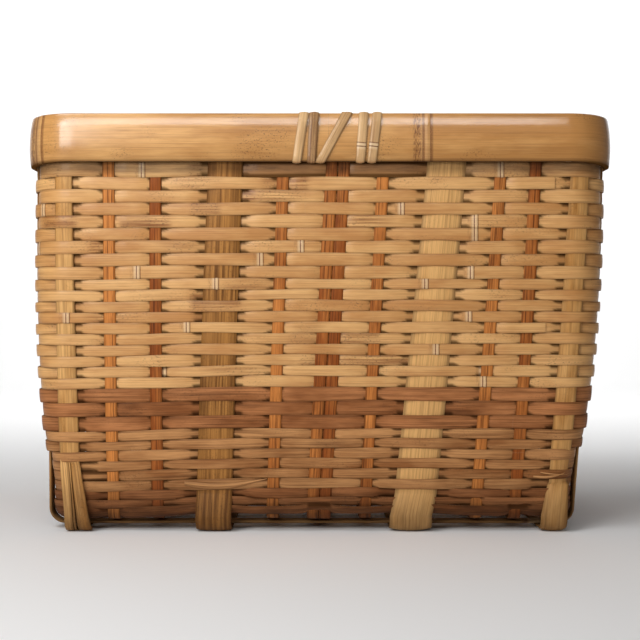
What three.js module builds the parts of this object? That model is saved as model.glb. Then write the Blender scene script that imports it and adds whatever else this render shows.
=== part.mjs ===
import * as THREE from 'three';

// A rectangular bamboo harvest basket, woven from flat strips.
// Millimetres, +Z up, the front faces -Y, and the basket stands on Z = 0.

// Wall: the middle surface of the stakes, a rounded rectangle in plan
const wallLength = 581;
const wallDepth = 381;
const wallCornerRadius = 40;

// The wall narrows towards its foot, slowly at first, and the foot sits a little to one side
const footInsetLength = 24;
const footInsetDepth = 20;
const footShift = -8;
const footCornerRadius = 28;
const footLean = THREE.MathUtils.degToRad(10);
const narrowingPower = 3;
const wallKnots = [0, 0.5, 0.8, 1];
const cornerBandKnots = [0, 0.1, 0.2, 0.3, 0.4, 0.5, 0.6, 0.7, 0.8, 0.85, 0.9, 0.95, 1];

// Rounded edge between the wall and the woven base
const edgeRadius = 28;
const baseHeight = 13;
const smallestCornerRadius = 2;

// Rim
const rimTop = 423.5;
const rimHeight = 48.5;
const rimThickness = 7.2;
const rimTopRounding = 4.5;
const rimTopRoundingHeight = 8.5;
const rimTopBreak = 1 / 3;
const rimFootRounding = 2;
const rimFootRoundingHeight = 5;
const innerRimHeight = 40.5;
const innerRimThickness = 5;
const fillerHeight = 3;

// Strips
const weaverThickness = 1.5;
const stakeThickness = 2;
const stakeWidth = 11.5;
const bandThickness = 4;
const leftBandWidth = 20;
const leftBandFootWidth = 24;
const midLeftBandWidth = 33.5;
const midLeftBandFootWidth = 35.5;
const midRightBandWidth = 36.5;
const midRightBandFootWidth = 43;
const rightBandWidth = 21;
const sideBandWidth = 20;
const lashingThickness = 1.3;
const lashingWidth = 9.5;

// Clearances: between woven strips, between touching pieces, and between neighbouring rows
const weaveClearance = 0.55;
const seatGap = 0.3;
const rowGap = 0.6;
const edgeMargin = 0.6;
const pairGap = 0.4;

// Rows of weavers from the rim down, in courses of equal pitch.
// The first course takes as many rows, of about its own pitch, as the wall's height leaves room for.
const upperPitch = 12.9;
const middlePitch = 11.1;
const darkPitch = 14.3;
const lowerPitch = 10.4;
const footPitch = 11.2;
const lastRowMargin = 9;
const courses = [
  { pitch: upperPitch, colour: 0xc89c64 },
  { rows: 10, pitch: middlePitch, colour: 0xc2935b },
  { rows: 3, pitch: darkPitch, colour: 0x8a5532 },
  { rows: 5, pitch: lowerPitch, colour: 0xa5713f },
  { rows: 4, pitch: footPitch, colour: 0x7d4a2d },
];

// The bands beside the corners: from the wall's end to the middle of the band, at the rim and at the foot
const leftBandInset = 31.7;
const leftBandFootInset = 24.5;
const rightBandInset = 29.5;
const rightBandFootInset = 18.3;
const sideBandInset = 42.5;
const sideBandFootInset = 31.5;

// Strips that run down the front, under the base and up the back, from left to right.
// Places at the rim and at the foot are shares of the way from the first band to the last.
// A power band is wide. It is woven in above its free rows, and lies outside those at the foot.
const crossStakes = [
  { name: 'power_band_left', rim: 0, foot: 0, width: leftBandWidth, footWidth: leftBandFootWidth, freeRows: 6 },
  { name: 'stake_cross_1', rim: 0.088, foot: 0.08, width: stakeWidth },
  { name: 'stake_cross_2', rim: 0.179, foot: 0.172, width: stakeWidth },
  {
    name: 'power_band_mid_left',
    rim: 0.311,
    foot: 0.286,
    width: midLeftBandWidth,
    footWidth: midLeftBandFootWidth,
    freeRows: 3,
  },
  { name: 'stake_cross_3', rim: 0.427, foot: 0.412, width: stakeWidth },
  { name: 'stake_cross_4', rim: 0.533, foot: 0.509, width: stakeWidth, pair: true },
  { name: 'stake_cross_5', rim: 0.621, foot: 0.605, width: stakeWidth },
  {
    name: 'power_band_mid_right',
    rim: 0.739,
    foot: 0.707,
    width: midRightBandWidth,
    footWidth: midRightBandFootWidth,
    freeRows: 3,
  },
  { name: 'stake_cross_6', rim: 0.849, foot: 0.834, width: stakeWidth },
  { name: 'stake_cross_7', rim: 0.915, foot: 0.913, width: stakeWidth },
  { name: 'power_band_right', rim: 1, foot: 1, width: rightBandWidth, footWidth: rightBandWidth, freeRows: 4 },
];

// Strips that run down one side, under the base and up the other side, from front to back
const longStakes = [
  { name: 'power_band_front', rim: 0, foot: 0, width: sideBandWidth, footWidth: sideBandWidth, freeRows: 7 },
  { name: 'stake_long_1', rim: 0.189, foot: 0.198, width: stakeWidth },
  { name: 'stake_long_2', rim: 0.392, foot: 0.396, width: stakeWidth },
  { name: 'stake_long_3', rim: 0.608, foot: 0.604, width: stakeWidth },
  { name: 'stake_long_4', rim: 0.811, foot: 0.802, width: stakeWidth },
  { name: 'power_band_back', rim: 1, foot: 1, width: sideBandWidth, footWidth: sideBandWidth, freeRows: 7 },
];

// Power bands turn under the base on a bend of their own, clear of the woven edge
const bandBendRadius = 15;
const bandBendSteps = 3;
const crossBandStandoff = 8;
const longBandStandoff = 6.5;

// Slats that lie only in the base, where they fill the wide openings of its weave
const slatWidth = 12;
const slatEndMargin = 3;
const crossSlats = [
  { name: 'base_slat_cross_1', between: ['stake_cross_2', 'stake_cross_3'] },
  { name: 'base_slat_cross_2', between: ['stake_cross_5', 'stake_cross_6'] },
];
const longSlats = [
  { name: 'base_slat_long_1', between: ['stake_long_1', 'stake_long_2'] },
  { name: 'base_slat_long_2', between: ['stake_long_2', 'stake_long_3'] },
  { name: 'base_slat_long_3', between: ['stake_long_3', 'stake_long_4'] },
];

// Lashings round the rim: where each turn crosses the rim's foot and its top, in widths of the strip
const frontLashing = {
  name: 'rim_lashing_front',
  side: 'front',
  turns: [
    { foot: -2.47, top: -1.68 },
    { foot: -1.21, top: -0.63 },
    { foot: 0, top: 2.89 },
    { foot: 4.23, top: 4.63 },
    { foot: 5.45, top: 6.05 },
  ],
};
const backLashing = {
  name: 'rim_lashing_back',
  side: 'back',
  turns: [
    { foot: -2.47, top: -1.89 },
    { foot: -1.26, top: -0.68 },
    { foot: -0.05, top: 0.53 },
  ],
};
const lashingTailHeight = 30;

// Finishes
const paleBamboo = { color: 0xc9a066, roughness: 0.5, metalness: 0 };
const brownBamboo = { color: 0xa5652f, roughness: 0.6, metalness: 0 };
const bandBamboo = { color: 0xc6a064, roughness: 0.45, metalness: 0 };
const rimBamboo = { color: 0xcfa468, roughness: 0.35, metalness: 0 };
const weaverRoughness = 0.6;

// A strip's slope and its offset depend on each other, and settle within this many passes
const settlingPasses = 6;

// Heights that follow from the sizes above
const rimFoot = rimTop - rimHeight;
const rowsTop = rimFoot - lashingThickness - 3 * seatGap;
const edgeCentreHeight = baseHeight + edgeRadius;
const wallFootHeight = edgeCentreHeight - edgeRadius * Math.sin(footLean);
const wallRun = rowsTop - wallFootHeight;
const wallEnd = wallRun + edgeRadius * (Math.PI / 2 - footLean);
const fillerFoot = rimTop - seatGap - fillerHeight;
const stakeTop = fillerFoot - seatGap;
const rimBackOffset = bandThickness / 2 + seatGap;
const crossBandHeight = bandThickness / 2;
const longBandHeight = bandThickness + seatGap + bandThickness / 2;

const sides = {
  front: { alongX: true, sign: -1 },
  right: { alongX: false, sign: 1 },
  back: { alongX: true, sign: 1 },
  left: { alongX: false, sign: -1 },
};

// The way in which the places along a side grow as a weaver goes round: front, right, back, left
const forwardOn = (side) => (side === 'front' || side === 'right' ? 1 : -1);

const lerp = THREE.MathUtils.lerp;

// The wall's narrowing, from 0 at the rows' top to 1 at the foot, straight between its knots
function narrowing(share) {
  const after = Math.max(1, wallKnots.findIndex((knot) => knot >= share));
  const [low, high] = [wallKnots[after - 1], wallKnots[after]];
  const between = (share - low) / (high - low);
  return lerp(low ** narrowingPower, high ** narrowingPower, between);
}

// The wall's section at a run measured down it from the top row: down the wall, then round the edge
function section(run) {
  if (run <= wallRun) {
    const share = Math.max(0, run / wallRun);
    return { height: rowsTop - run, share, narrow: narrowing(share), lean: footLean * share ** 2, tuck: 0 };
  }
  const lean = Math.min(Math.PI / 2, footLean + (run - wallRun) / edgeRadius);
  const tuck = edgeRadius * (Math.cos(footLean) - Math.cos(lean));
  return { height: edgeCentreHeight - edgeRadius * Math.sin(lean), share: 1, narrow: 1, lean, tuck };
}

// The wall's rounded rectangle in plan at a run
function plan(run) {
  const cut = section(run);
  return {
    halfLength: wallLength / 2 - footInsetLength * cut.narrow - cut.tuck,
    halfDepth: wallDepth / 2 - footInsetDepth * cut.narrow - cut.tuck,
    radius: Math.max(smallestCornerRadius, lerp(wallCornerRadius, footCornerRadius, cut.share) - cut.tuck),
    shift: footShift * cut.share,
  };
}

// Half the wall's size across a side, and the side's straight half and centre along it
function sideSizes(side, run) {
  const { halfLength, halfDepth, radius, shift } = plan(run);
  return sides[side].alongX
    ? { across: halfDepth, straight: halfLength - radius, radius, centre: shift, acrossCentre: 0 }
    : { across: halfLength, straight: halfDepth - radius, radius, centre: 0, acrossCentre: shift };
}

function placed(side, along, across, height) {
  return sides[side].alongX
    ? new THREE.Vector3(along, across, height)
    : new THREE.Vector3(across, along, height);
}

// How far a place on a side has turned into the corner, as an angle from the side's own facing
function cornerTurn(side, at, run) {
  const size = sideSizes(side, run);
  const past = Math.abs(at - size.centre) - size.straight;
  return past <= 0 ? 0 : Math.asin(Math.min(1, past / size.radius));
}

// A point of the wall at a place along a side and a run down it, moved out along the wall's normal
function wallPoint(side, at, run, out) {
  const size = sideSizes(side, run);
  const cut = section(run);
  const turn = cornerTurn(side, at, run);
  const end = Math.sign(at - size.centre);
  const level = out * Math.cos(cut.lean);
  const along = turn > 0
    ? size.centre + end * (size.straight + (size.radius + level) * Math.sin(turn))
    : at;
  const depth = size.across - size.radius + (size.radius + level) * Math.cos(turn);
  const across = size.acrossCentre + sides[side].sign * depth;
  return placed(side, along, across, cut.height - out * Math.sin(cut.lean));
}

// Rows: the runs of each weaver's upper and lower edge
function makeRows() {
  const below = courses.slice(1).reduce((sum, course) => sum + course.rows * course.pitch, 0);
  const room = wallEnd - lastRowMargin - below;
  const upperRows = Math.round(room / upperPitch);
  const rows = [];
  let run = 0;
  for (const course of courses) {
    const pitch = course.rows === undefined ? room / upperRows : course.pitch;
    for (let i = 0; i < (course.rows ?? upperRows); i += 1) {
      const [from, to] = [run + rowGap / 2, run + pitch - rowGap / 2];
      rows.push({ number: rows.length + 1, from, to, colour: course.colour });
      run += pitch;
    }
  }
  return rows;
}
const rows = makeRows();

// The places along a side, at the rim and at the foot, of the first and the last band of a list
const crossSpan = {
  rim: [leftBandInset - wallLength / 2, wallLength / 2 - rightBandInset],
  foot: [
    footShift + leftBandFootInset + footInsetLength - wallLength / 2,
    footShift - rightBandFootInset - footInsetLength + wallLength / 2,
  ],
};
const longSpan = {
  rim: [sideBandInset - wallDepth / 2, wallDepth / 2 - sideBandInset],
  foot: [sideBandFootInset + footInsetDepth - wallDepth / 2, wallDepth / 2 - footInsetDepth - sideBandFootInset],
};

function placeStakes(stakes, span) {
  return stakes.map((stake) => ({
    ...stake,
    rim: lerp(span.rim[0], span.rim[1], stake.rim),
    foot: lerp(span.foot[0], span.foot[1], stake.foot),
  }));
}
const crossPlaced = placeStakes(crossStakes, crossSpan);
const longPlaced = placeStakes(longStakes, longSpan);

function stakePlace(stake, run) {
  const share = section(run).share;
  const width = lerp(stake.width, stake.footWidth ?? stake.width, share);
  const half = stake.pair ? width + pairGap / 2 : width / 2;
  return { at: lerp(stake.rim, stake.foot, share), half };
}

const isBand = (stake) => stake.freeRows !== undefined;
const thicknessOf = (stake) => (isBand(stake) ? bandThickness : stakeThickness);

// Crossings round the wall, in the order in which a weaver meets the stakes
function makeCrossings() {
  const round = [
    ...crossPlaced.map((stake) => ({ side: 'front', stake })),
    ...longPlaced.map((stake) => ({ side: 'right', stake })),
    ...[...crossPlaced].reverse().map((stake) => ({ side: 'back', stake })),
    ...[...longPlaced].reverse().map((stake) => ({ side: 'left', stake })),
  ];
  return round.map((crossing, index) => ({ ...crossing, index }));
}
const crossings = makeCrossings();

const passesOutside = (crossing, row) => (crossing.index + row.number) % 2 === 1;

// The last row that holds a power band at a crossing: the lowest one that passes outside it
function holdingRow(crossing) {
  const lastRow = rows.length - crossing.stake.freeRows;
  const held = rows.filter((row) => row.number <= lastRow && passesOutside(crossing, row));
  return held[held.length - 1];
}

// Where a power band leaves the weave, and where it starts its bend under the base
function bandEnds(crossing) {
  const cross = sides[crossing.side].alongX;
  const leaves = holdingRow(crossing).to + rowGap / 2;
  const restHeight = cross ? crossBandHeight : longBandHeight;
  const standoff = cross ? crossBandStandoff : longBandStandoff;
  return {
    leaves,
    leaveHeight: section(leaves).height,
    leaveAcross: sideSizes(crossing.side, leaves).across,
    bendHeight: restHeight + bandBendRadius,
    bendAcross: sideSizes(crossing.side, wallRun).across + standoff,
    restHeight,
  };
}

// How far out a freed power band stands from the wall's middle surface at a run
function bandStandoffAt(crossing, run) {
  const ends = bandEnds(crossing);
  const cut = section(run);
  const fall = (ends.leaveHeight - cut.height) / (ends.leaveHeight - ends.bendHeight);
  const across = lerp(ends.leaveAcross, ends.bendAcross, Math.min(1, fall));
  return (across - sideSizes(crossing.side, run).across) * Math.cos(cut.lean);
}

// The bands beside the corners, whose edges shape the corners of the weave and of the rim
const outerBands = [crossPlaced, longPlaced].flatMap((list) => [list[0], list[list.length - 1]]);
const widestTurn = THREE.MathUtils.degToRad(42);

// A place along a side, held back where it would pass too far round the corner
function heldBack(side, at, run) {
  const size = sideSizes(side, run);
  const reach = size.straight + size.radius * Math.sin(widestTurn);
  return THREE.MathUtils.clamp(at, size.centre - reach, size.centre + reach);
}

// The offset that a row needs at one crossing, or null where the row has nothing to pass there
function neededOffset(crossing, row) {
  const clear = (thicknessOf(crossing.stake) + weaverThickness) / 2 + weaveClearance;
  if (isBand(crossing.stake) && row.number > holdingRow(crossing).number) {
    const limit = Math.min(bandStandoffAt(crossing, row.from), bandStandoffAt(crossing, row.to)) - clear;
    const besideCorner = outerBands.includes(crossing.stake);
    return besideCorner || limit < clear ? { clear: Math.max(0, -limit), outward: -1 } : null;
  }
  return { clear, outward: passesOutside(crossing, row) ? 1 : -1 };
}

// A stake gives a weaver one point, at its middle. A power band gives two, at its edges.
function rowPoints(row) {
  const points = [];
  for (const crossing of crossings) {
    const need = neededOffset(crossing, row);
    if (need === null) continue;
    const wide = isBand(crossing.stake);
    const edge = wide ? 0 : stakePlace(crossing.stake, row.from).half;
    for (const end of wide ? [-1, 1] : [0]) {
      const placeAt = (run) => {
        const place = stakePlace(crossing.stake, run);
        const past = forwardOn(crossing.side) * end * (place.half + edgeMargin);
        return heldBack(crossing.side, place.at + past, run);
      };
      points.push({ side: crossing.side, placeAt, need, edge });
    }
  }
  return points;
}

// A thin stake's point stands out far enough for the slope beside it to clear the stake's edges
function raisePoints(points, gapTo) {
  points.forEach((point) => { point.offset = point.need.outward * point.need.clear; });
  for (let pass = 0; pass < settlingPasses; pass += 1) {
    points.forEach((point, i) => {
      if (point.edge === 0) return;
      for (const step of [-1, 1]) {
        const gap = gapTo(i, step);
        if (gap === null) continue;
        const share = point.edge / gap.distance;
        const pull = point.need.outward * gap.offset * share;
        const height = (point.need.clear - pull) / (1 - share);
        point.offset = point.need.outward * Math.max(height, Math.abs(point.offset));
      }
    });
  }
}

function ringPoints(row) {
  const points = rowPoints(row);
  const middle = (row.from + row.to) / 2;
  raisePoints(points, (i, step) => {
    const next = points[(i + step + points.length) % points.length];
    if (next.side !== points[i].side) return null;
    return { distance: Math.abs(next.placeAt(middle) - points[i].placeAt(middle)), offset: next.offset };
  });
  return points;
}

// A closed solid through a list of sections, each a ring of as many points
function skin(sections, closed) {
  const count = sections[0].length;
  const positions = sections.flat().flatMap((point) => [point.x, point.y, point.z]);
  const index = [];
  const spans = closed ? sections.length : sections.length - 1;
  for (let i = 0; i < spans; i += 1) {
    const here = i * count;
    const there = ((i + 1) % sections.length) * count;
    for (let j = 0; j < count; j += 1) {
      const k = (j + 1) % count;
      index.push(here + j, there + j, there + k, here + j, there + k, here + k);
    }
  }
  if (!closed) {
    const last = (sections.length - 1) * count;
    for (let j = 1; j < count - 1; j += 1) {
      index.push(0, j, j + 1);
      index.push(last, last + j + 1, last + j);
    }
  }
  const geometry = new THREE.BufferGeometry();
  geometry.setAttribute('position', new THREE.Float32BufferAttribute(positions, 3));
  geometry.setIndex(facesOut(positions, index) ? index : index.reverse());
  geometry.computeVertexNormals();
  return geometry;
}

function facesOut(positions, index) {
  const corner = (i) => new THREE.Vector3().fromArray(positions, 3 * i);
  let volume = 0;
  for (let i = 0; i < index.length; i += 3) {
    const [a, b, c] = [corner(index[i]), corner(index[i + 1]), corner(index[i + 2])];
    volume += a.dot(b.cross(c));
  }
  return volume > 0;
}

const basket = new THREE.Group();

function addPiece(name, geometry, finish) {
  const mesh = new THREE.Mesh(geometry, new THREE.MeshStandardMaterial(finish));
  mesh.name = name;
  basket.add(mesh);
}

// Weavers: one closed hoop for each row
function weaver(row) {
  const half = weaverThickness / 2;
  const sections = ringPoints(row).map((point) => [
    wallPoint(point.side, point.placeAt(row.from), row.from, point.offset + half),
    wallPoint(point.side, point.placeAt(row.from), row.from, point.offset - half),
    wallPoint(point.side, point.placeAt(row.to), row.to, point.offset - half),
    wallPoint(point.side, point.placeAt(row.to), row.to, point.offset + half),
  ]);
  return skin(sections, true);
}

for (const row of rows) {
  const name = `weaver_${String(row.number).padStart(2, '0')}`;
  addPiece(name, weaver(row), { color: row.colour, roughness: weaverRoughness, metalness: 0 });
}

// Runs at which a stake changes direction: its top, the wall's knots and the rows round the edge
const topRun = rowsTop - stakeTop;
const knotRuns = wallKnots.map((knot) => knot * wallRun);
const cornerBandRuns = cornerBandKnots.map((knot) => knot * wallRun);
const edgeRuns = rows.map((row) => row.to + rowGap / 2).filter((run) => run > wallRun && run < wallEnd);

// A strip's section across its width, at a place along a side and a run down the wall
function stripSection(side, place, run, thickness) {
  const half = thickness / 2;
  return [
    wallPoint(side, place.at - place.half, run, half),
    wallPoint(side, place.at + place.half, run, half),
    wallPoint(side, place.at + place.half, run, -half),
    wallPoint(side, place.at - place.half, run, -half),
  ];
}

// The sections of a stake down one side, from its top to the flat of the base
function stakeDown(side, stake, placeOf) {
  const runs = [topRun, ...knotRuns, ...edgeRuns, wallEnd];
  return runs.map((run) => stripSection(side, placeOf(run), run, thicknessOf(stake)));
}

// The sections of a power band down one side: woven in, then free, then bent under the base
function bandDown(side, stake) {
  const crossing = crossings.find((item) => item.side === side && item.stake === stake);
  const ends = bandEnds(crossing);
  const knots = outerBands.includes(stake) ? cornerBandRuns : knotRuns;
  const runs = [topRun, ...knots.filter((run) => run < ends.leaves), ends.leaves];
  const woven = runs.map((run) => stripSection(side, stakePlace(stake, run), run, bandThickness));
  const { at, half } = stakePlace(stake, wallRun);
  const size = sideSizes(side, wallRun);
  const bend = [];
  for (let i = 0; i <= bandBendSteps; i += 1) {
    const angle = (i / bandBendSteps) * (Math.PI / 2);
    const pointOut = (out, end) => {
      const radius = bandBendRadius + out;
      const across = ends.bendAcross - bandBendRadius + radius * Math.cos(angle);
      const height = ends.bendHeight - radius * Math.sin(angle);
      return placed(side, at + end * half, size.acrossCentre + sides[side].sign * across, height);
    };
    const thick = bandThickness / 2;
    bend.push([pointOut(thick, -1), pointOut(thick, 1), pointOut(-thick, 1), pointOut(-thick, -1)]);
  }
  return [...woven, ...bend];
}

// Stakes across the basket, flat in the base
const baseCrossings = [];

for (const stake of crossPlaced) {
  const finish = isBand(stake) ? bandBamboo : brownBamboo;
  if (isBand(stake)) {
    const sections = [...bandDown('front', stake), ...bandDown('back', stake).reverse()];
    addPiece(stake.name, skin(sections, false), finish);
    continue;
  }
  const strips = stake.pair ? [-1, 1] : [0];
  for (const strip of strips) {
    const placeOf = (run) => {
      const place = stakePlace(stake, run);
      const middle = strip * (stake.width + pairGap) / 2;
      return { at: place.at + middle, half: stake.width / 2 };
    };
    const suffix = strip === 0 ? '' : strip < 0 ? '_left' : '_right';
    const sections = [
      ...stakeDown('front', stake, placeOf),
      ...stakeDown('back', stake, placeOf).reverse(),
    ];
    addPiece(`${stake.name}${suffix}`, skin(sections, false), finish);
  }
  baseCrossings.push({ at: stake.foot, half: stakePlace(stake, wallEnd).half });
}

// Slats across the base, between the two rounded edges
function boxSection(x0, x1, y, height) {
  const half = stakeThickness / 2;
  return [
    new THREE.Vector3(x0, y, height - half),
    new THREE.Vector3(x1, y, height - half),
    new THREE.Vector3(x1, y, height + half),
    new THREE.Vector3(x0, y, height + half),
  ];
}

const basePlan = plan(wallEnd);

// The middle between two stakes, where a slat lies
function middleOf(stakes, between) {
  const [first, last] = between.map((name) => stakes.find((stake) => stake.name === name));
  return (first.foot + last.foot) / 2;
}

for (const slat of crossSlats) {
  const at = middleOf(crossPlaced, slat.between);
  const reach = basePlan.halfDepth - slatEndMargin;
  const [x0, x1] = [at - slatWidth / 2, at + slatWidth / 2];
  const sections = [-reach, reach].map((y) => boxSection(x0, x1, y, baseHeight));
  addPiece(slat.name, skin(sections, false), paleBamboo);
  baseCrossings.push({ at, half: slatWidth / 2 });
}
baseCrossings.sort((one, other) => one.at - other.at);

// Heights of a lengthwise strip where it passes over and under the strips across the base
function basePoints(lane) {
  const clear = stakeThickness + weaveClearance;
  const points = baseCrossings.map((crossing, i) => {
    const outward = (i + lane) % 2 === 0 ? 1 : -1;
    return { x: crossing.at, need: { clear, outward }, edge: crossing.half };
  });
  raisePoints(points, (i, step) => {
    const next = points[i + step];
    return next === undefined ? null : { distance: Math.abs(next.x - points[i].x), offset: next.offset };
  });
  return points;
}

function laneSection(x, y, width, height) {
  const half = stakeThickness / 2;
  return [
    new THREE.Vector3(x, y - width / 2, height - half),
    new THREE.Vector3(x, y + width / 2, height - half),
    new THREE.Vector3(x, y + width / 2, height + half),
    new THREE.Vector3(x, y - width / 2, height + half),
  ];
}

// Lengthwise strips in the base, from front to back, so that neighbours pass on opposite sides
const lanes = [
  ...longPlaced.filter((stake) => !isBand(stake)).map((stake) => ({ stake, y: stake.foot })),
  ...longSlats.map((slat) => ({ slat, y: middleOf(longPlaced, slat.between) })),
].sort((one, other) => one.y - other.y);

lanes.forEach((lane, i) => {
  const points = basePoints(i);
  const width = lane.slat ? slatWidth : stakeWidth;
  const crossed = points.map((point) => laneSection(point.x, lane.y, width, baseHeight + point.offset));
  if (lane.slat) {
    const reach = slatWidth / 2 + slatEndMargin;
    const [first, last] = [points[0], points[points.length - 1]];
    const sections = [
      laneSection(first.x - reach, lane.y, width, baseHeight + first.offset),
      ...crossed,
      laneSection(last.x + reach, lane.y, width, baseHeight + last.offset),
    ];
    addPiece(lane.slat.name, skin(sections, false), paleBamboo);
    return;
  }
  const placeOf = (run) => stakePlace(lane.stake, run);
  const sections = [
    ...stakeDown('left', lane.stake, placeOf),
    ...crossed,
    ...stakeDown('right', lane.stake, placeOf).reverse(),
  ];
  addPiece(lane.stake.name, skin(sections, false), brownBamboo);
});

for (const stake of longPlaced.filter(isBand)) {
  const sections = [...bandDown('left', stake), ...bandDown('right', stake).reverse()];
  addPiece(stake.name, skin(sections, false), bandBamboo);
}

// Rim: hoops that follow the wall's plan, and turn its corners at the edges of the bands beside them.
// A rounder hoop turns in the middle of each corner too.
function rimHoop(corners, rounder) {
  const edges = crossings.filter(({ stake }) => outerBands.includes(stake)).flatMap(({ side, stake }) => {
    const { at, half } = stakePlace(stake, 0);
    const size = sideSizes(side, 0);
    const forward = forwardOn(side);
    const middle = size.centre + Math.sign(at) * (size.straight + size.radius * Math.SQRT1_2);
    const ends = [-1, 1].map((end) => ({ side, at: at + forward * end * half }));
    return rounder && Math.sign(at) === forward ? [...ends, { side, at: middle }] : ends;
  });
  const sections = edges.map(({ side, at }) => (
    corners.map(({ offset, height }) => wallPoint(side, at, 0, offset).setZ(height))
  ));
  return skin(sections, true);
}

const rimFaceOffset = rimBackOffset + rimThickness;
addPiece('rim_outer_band', rimHoop([
  { offset: rimBackOffset, height: rimFoot },
  { offset: rimFaceOffset - rimFootRounding, height: rimFoot },
  { offset: rimFaceOffset, height: rimFoot + rimFootRoundingHeight },
  { offset: rimFaceOffset, height: rimTop - rimTopRoundingHeight },
  { offset: rimFaceOffset - rimTopRounding * rimTopBreak, height: rimTop - rimTopRoundingHeight * rimTopBreak },
  { offset: rimFaceOffset - rimTopRounding, height: rimTop },
  { offset: rimBackOffset, height: rimTop },
], true), rimBamboo);

const innerRimFoot = rimTop - innerRimHeight;
const innerFaceOffset = -rimBackOffset - innerRimThickness;
addPiece('rim_inner_band', rimHoop([
  { offset: -rimBackOffset, height: innerRimFoot },
  { offset: -rimBackOffset, height: rimTop },
  { offset: innerFaceOffset, height: rimTop },
  { offset: innerFaceOffset, height: innerRimFoot },
], false), rimBamboo);

const fillerHalf = rimBackOffset - seatGap;
addPiece('rim_filler', rimHoop([
  { offset: fillerHalf, height: fillerFoot },
  { offset: fillerHalf, height: fillerFoot + fillerHeight },
  { offset: -fillerHalf, height: fillerFoot + fillerHeight },
  { offset: -fillerHalf, height: fillerFoot },
], false), brownBamboo);

// Lashing: one long strip, wound round both rim bands
function lashing({ side, turns }) {
  const lift = seatGap + lashingThickness / 2;
  const half = lashingThickness / 2;
  const wallFace = wallDepth / 2;
  const breakOutset = rimFaceOffset - rimTopRounding * rimTopBreak;
  const corner = (outset, height, outX, outZ) => ({ outset, height, outX, outZ });
  const up = [
    corner(rimFaceOffset - rimFootRounding + lift, rimFoot - lift, 1, -1),
    corner(rimFaceOffset + lift, rimFoot + rimFootRoundingHeight, 1, 0),
    corner(rimFaceOffset + lift, rimTop - rimTopRoundingHeight, 1, 0),
    corner(breakOutset + lift, rimTop - rimTopRoundingHeight * rimTopBreak + lift / 2, 1, 1 / 2),
    corner(rimFaceOffset - rimTopRounding + lift, rimTop + lift, 1, 1),
  ];
  const down = [
    corner(innerFaceOffset - lift, rimTop + lift, -1, 1),
    corner(innerFaceOffset - lift, rimFoot - lift, -1, -1),
  ];
  const cut = (x, { outset, height, outX, outZ }) => {
    const at = (end, out) => new THREE.Vector3(
      x + end * lashingWidth / 2,
      sides[side].sign * (wallFace + outset + out * outX * half),
      height + out * outZ * half,
    );
    return [at(-1, 1), at(1, 1), at(1, -1), at(-1, -1)];
  };
  const tail = corner(innerFaceOffset - lift, rimFoot + lashingTailHeight, -1, 0);
  const places = turns.map(({ foot, top }) => ({ foot: foot * lashingWidth, top: top * lashingWidth }));
  const sections = [cut(places[0].foot, tail), cut(places[0].foot, down[1])];
  places.forEach((turn, i) => {
    up.forEach((place, j) => sections.push(cut(lerp(turn.foot, turn.top, j / (up.length - 1)), place)));
    sections.push(cut(turn.top, down[0]));
    const next = places[i + 1];
    sections.push(next ? cut(next.foot, down[1]) : cut(turn.top, tail));
  });
  return skin(sections, false);
}

addPiece(frontLashing.name, lashing(frontLashing), paleBamboo);
addPiece(backLashing.name, lashing(backLashing), paleBamboo);

export default basket;
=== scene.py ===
import random
from collections import namedtuple
from math import asin, cos, dist, pi, radians, sin, sqrt
from types import SimpleNamespace

import bpy
import numpy as np
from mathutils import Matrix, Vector


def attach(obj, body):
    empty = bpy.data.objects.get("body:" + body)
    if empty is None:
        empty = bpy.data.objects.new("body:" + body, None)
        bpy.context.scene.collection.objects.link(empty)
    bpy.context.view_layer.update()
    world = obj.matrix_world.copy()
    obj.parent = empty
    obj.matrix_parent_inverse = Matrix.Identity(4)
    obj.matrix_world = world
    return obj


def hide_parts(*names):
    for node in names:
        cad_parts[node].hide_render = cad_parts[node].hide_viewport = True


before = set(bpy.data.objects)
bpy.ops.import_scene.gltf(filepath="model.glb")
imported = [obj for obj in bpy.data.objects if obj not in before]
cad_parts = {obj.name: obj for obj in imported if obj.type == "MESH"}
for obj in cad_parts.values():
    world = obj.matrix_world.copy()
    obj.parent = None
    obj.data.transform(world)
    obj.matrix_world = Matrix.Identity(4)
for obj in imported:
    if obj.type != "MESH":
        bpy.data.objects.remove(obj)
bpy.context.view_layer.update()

# A bamboo harvest basket. Sizes are in millimetres, and become metres when a mesh is made.
MM = 0.001

# Wall: the middle surface of the stakes
WALL_LENGTH = 581.0
WALL_DEPTH = 381.0
WALL_CORNER_RADIUS = 40.0
FOOT_INSET_LENGTH = 24.0
FOOT_INSET_DEPTH = 20.0
FOOT_SHIFT = -8.0
FOOT_CORNER_RADIUS = 28.0
FOOT_LEAN = radians(10)
NARROWING_POWER = 3
FOOT_STEP = 0.12
FOOT_STEP_SHARE = 0.8
FOOT_STEP_REACH = 0.14
FOOT_SHIFT_POWER = 1.5
EDGE_RADIUS = 12.0
EDGE_LEAN = radians(10.8)
NARROWING_RUN = 336.7
BASE_HEIGHT = 13.0
SMALLEST_CORNER_RADIUS = 2.0

# Rim
RIM_TOP = 423.5
RIM_HEIGHT = 48.5
RIM_THICKNESS = 7.2
RIM_SKIN_MARGIN = 0.5
RIM_NODE_SCALE = 0.6
HOOP_START = 60.0
HOOP_STEP = 3.5
RIM_NODE_PLACE = -278.0
RIM_NODE_SPACING = 388.4
RIM_SAG = (3.0, 1.0)
# How much deeper the rim's tone is painted towards its right, as shade where less light falls
RIM_RIGHT_SHADE = 1.3
# The outer hoop's face: distances below its top, and how many degrees it leans back there
RIM_LEANS = [
    (0, 62), (1.2, 24), (2.5, 13), (5.5, 10), (11, 8.4), (14, 5.5), (27, 1), (40, -5), (47.5, -9), (48.5, -30)
]
INNER_RIM_HEIGHT = 40.5
INNER_RIM_THICKNESS = 5.0
FILLER_HEIGHT = 3.0

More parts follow.
